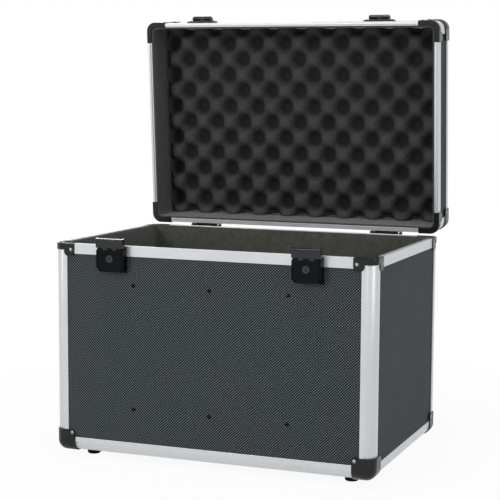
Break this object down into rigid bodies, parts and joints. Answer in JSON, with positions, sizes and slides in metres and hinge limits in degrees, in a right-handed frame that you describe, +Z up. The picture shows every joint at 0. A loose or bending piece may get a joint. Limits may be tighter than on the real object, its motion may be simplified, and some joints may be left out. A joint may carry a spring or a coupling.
{
  "type": "lighting flight case",
  "caption": "Open flight case for lighting fixtures: laminate panels in aluminium edge profiles, divided body, hinged foam-lined lid and draw latches",
  "frame": {"origin": "under the middle of the open case, on the floor that its feet rest on", "axes": "+Z up, +X to the right seen from the latches, +Y from the latches to the hinges"},
  "size_m": [0.5258, 0.4478, 0.6996],
  "materials": {
    "panel_laminate": "embossed black laminate",
    "profile_aluminium": "satin anodised extrusion",
    "corner_plastic": "moulded black",
    "rivet_steel": "plated",
    "foot_rubber": "matt",
    "lining_cloth": "short-napped dark grey cloth",
    "lid_foam": "open-cell egg-crate foam",
    "latch_black": "black powder coat",
    "hinge_steel": "zinc plated",
    "lock_chrome": "bright"
  },
  "bodies": {
    "base": {"front_panel": "panel_laminate", "rear_panel": "panel_laminate", "left_panel": "panel_laminate", "right_panel": "panel_laminate", "bottom_panel": "panel_laminate", "corner_posts": "profile_aluminium", "bottom_edges": "profile_aluminium", "base_rims": "profile_aluminium", "base_rim_corners": "corner_plastic", "base_ball_corners": "corner_plastic", "base_corner_rivets": "rivet_steel", "rubber_feet": "foot_rubber", "foot_screws": "rivet_steel", "base_wall_liner": "lining_cloth", "floor_liner": "lining_cloth", "divider_left": "lining_cloth", "divider_centre": "lining_cloth", "divider_right": "lining_cloth", "divider_screws": "rivet_steel", "hinge_base_leaf_left": "hinge_steel", "hinge_base_leaf_right": "hinge_steel", "hinge_pin_left": "rivet_steel", "hinge_pin_right": "rivet_steel", "hinge_base_rivets": "rivet_steel", "latch_base_left": "latch_black", "latch_base_right": "latch_black", "latch_rivets": "rivet_steel", "latch_pivot_pins": "rivet_steel"},
    "lid": {"lid_top_panel": "panel_laminate", "lid_front_panel": "panel_laminate", "lid_rear_panel": "panel_laminate", "lid_left_panel": "panel_laminate", "lid_right_panel": "panel_laminate", "lid_corner_posts": "profile_aluminium", "lid_top_edges": "profile_aluminium", "lid_rims": "profile_aluminium", "lid_rim_corners": "corner_plastic", "lid_ball_corners": "corner_plastic", "lid_corner_rivets": "rivet_steel", "lid_liner": "lining_cloth", "lid_foam": "lid_foam", "catch_left": "latch_black", "catch_right": "latch_black", "catch_rivets": "rivet_steel", "hinge_lid_leaf_left": "hinge_steel", "hinge_lid_leaf_right": "hinge_steel", "hinge_lid_rivets": "rivet_steel", "handle_brackets": "latch_black", "handle_screws": "rivet_steel"},
    "handle": {"handle_bail": "latch_black", "handle_grip": "foot_rubber"},
    "lever_left": {"latch_lever_left": "latch_black"},
    "lock_left": {"lock_cylinder_left": "lock_chrome"},
    "draw_left": {"draw_pin_left": "rivet_steel"},
    "hook_left": {"latch_hook_left": "latch_black"},
    "lever_right": {"latch_lever_right": "latch_black"},
    "lock_right": {"lock_cylinder_right": "lock_chrome"},
    "draw_right": {"draw_pin_right": "rivet_steel"},
    "hook_right": {"latch_hook_right": "latch_black"}
  },
  "joints": [
    {"name": "lid_hinge", "type": "hinge", "parent": "base", "child": "lid", "pos_m": [0, 0.14219, 0.3385], "axis": [1, 0, 0], "range_deg": [0, 86]},
    {"name": "handle_swing", "type": "hinge", "parent": "lid", "child": "handle", "pos_m": [0, 0.21304, 0.52089], "axis": [1, 0, 0], "range_deg": [0, 180]},
    {"name": "lever_left_lift", "type": "hinge", "parent": "base", "child": "lever_left", "pos_m": [-0.1585, -0.21311, 0.3346], "axis": [-1, 0, 0], "range_deg": [0, 72]},
    {"name": "draw_left_turn", "type": "hinge", "parent": "lever_left", "child": "draw_left", "pos_m": [-0.1585, -0.21921, 0.332], "axis": [1, 0, 0], "range_deg": [0, 72]},
    {"name": "hook_left_tilt", "type": "hinge", "parent": "draw_left", "child": "hook_left", "pos_m": [-0.1585, -0.21921, 0.332], "axis": [1, 0, 0], "range_deg": [-9, 12]},
    {"name": "lock_left_turn", "type": "hinge", "parent": "lever_left", "child": "lock_left", "pos_m": [-0.1585, -0.22151, 0.318], "axis": [0, 1, 0], "range_deg": [0, 90]},
    {"name": "lever_right_lift", "type": "hinge", "parent": "base", "child": "lever_right", "pos_m": [0.1585, -0.21311, 0.3346], "axis": [-1, 0, 0], "range_deg": [0, 72]},
    {"name": "draw_right_turn", "type": "hinge", "parent": "lever_right", "child": "draw_right", "pos_m": [0.1585, -0.21921, 0.332], "axis": [1, 0, 0], "range_deg": [0, 72]},
    {"name": "hook_right_tilt", "type": "hinge", "parent": "draw_right", "child": "hook_right", "pos_m": [0.1585, -0.21921, 0.332], "axis": [1, 0, 0], "range_deg": [-9, 12]},
    {"name": "lock_right_turn", "type": "hinge", "parent": "lever_right", "child": "lock_right", "pos_m": [0.1585, -0.22151, 0.318], "axis": [0, 1, 0], "range_deg": [0, 90]}
  ],
  "couplings": [
    {"joint": "draw_left_turn", "follows": "lever_left_lift", "ratio": 1},
    {"joint": "draw_right_turn", "follows": "lever_right_lift", "ratio": 1}
  ]
}
